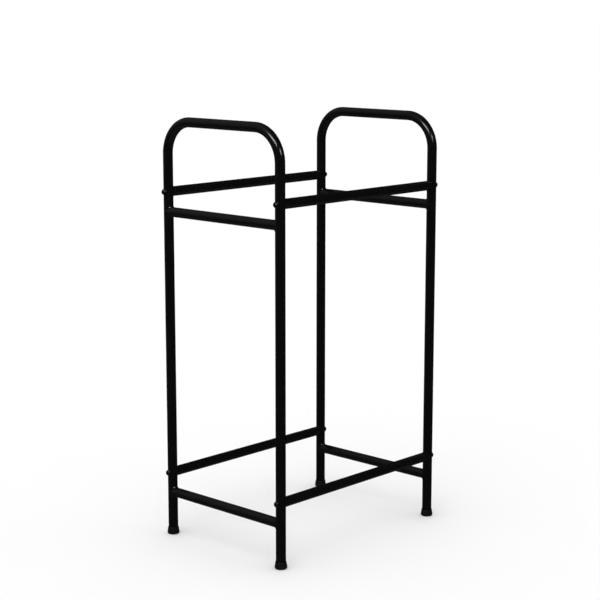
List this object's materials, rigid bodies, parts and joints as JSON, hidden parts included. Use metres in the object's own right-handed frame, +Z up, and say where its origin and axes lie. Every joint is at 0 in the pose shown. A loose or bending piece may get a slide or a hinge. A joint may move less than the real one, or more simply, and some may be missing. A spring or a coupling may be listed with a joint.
{
  "type": "tyre storage rack",
  "caption": "Free-standing tubular steel rack that holds car tyres upright on upper and lower rails between inverted-U end hoops.",
  "frame": {"origin": "on the floor, midway between the four feet", "axes": "+X along the rails to the right end, +Y to the rear, +Z up; the rack is the same seen from front and rear"},
  "size_m": [0.609, 0.4212, 1.088],
  "materials": {
    "powder_coat": "gloss black powder coat with a faint orange peel",
    "foot_plastic": "moulded black plastic, satin to matte",
    "bolt_black": "black-finished steel, satin",
    "insert_steel": "bright zinc-plated steel"
  },
  "bodies": {
    "root": {"left_hoop": "powder_coat", "left_upper_cross_tube": "powder_coat", "left_lower_cross_tube": "powder_coat", "left_front_foot": "foot_plastic", "left_front_upper_bolt": "bolt_black", "left_front_upper_washer": "bolt_black", "left_front_upper_insert": "insert_steel", "left_front_lower_bolt": "bolt_black", "left_front_lower_washer": "bolt_black", "left_front_lower_insert": "insert_steel", "left_rear_foot": "foot_plastic", "left_rear_upper_bolt": "bolt_black", "left_rear_upper_washer": "bolt_black", "left_rear_upper_insert": "insert_steel", "left_rear_lower_bolt": "bolt_black", "left_rear_lower_washer": "bolt_black", "left_rear_lower_insert": "insert_steel", "right_hoop": "powder_coat", "right_upper_cross_tube": "powder_coat", "right_lower_cross_tube": "powder_coat", "right_front_foot": "foot_plastic", "right_front_upper_bolt": "bolt_black", "right_front_upper_washer": "bolt_black", "right_front_upper_insert": "insert_steel", "right_front_lower_bolt": "bolt_black", "right_front_lower_washer": "bolt_black", "right_front_lower_insert": "insert_steel", "right_rear_foot": "foot_plastic", "right_rear_upper_bolt": "bolt_black", "right_rear_upper_washer": "bolt_black", "right_rear_upper_insert": "insert_steel", "right_rear_lower_bolt": "bolt_black", "right_rear_lower_washer": "bolt_black", "right_rear_lower_insert": "insert_steel", "front_upper_rail": "powder_coat", "front_lower_rail": "powder_coat", "rear_upper_rail": "powder_coat", "rear_lower_rail": "powder_coat"}
  },
  "joints": []
}
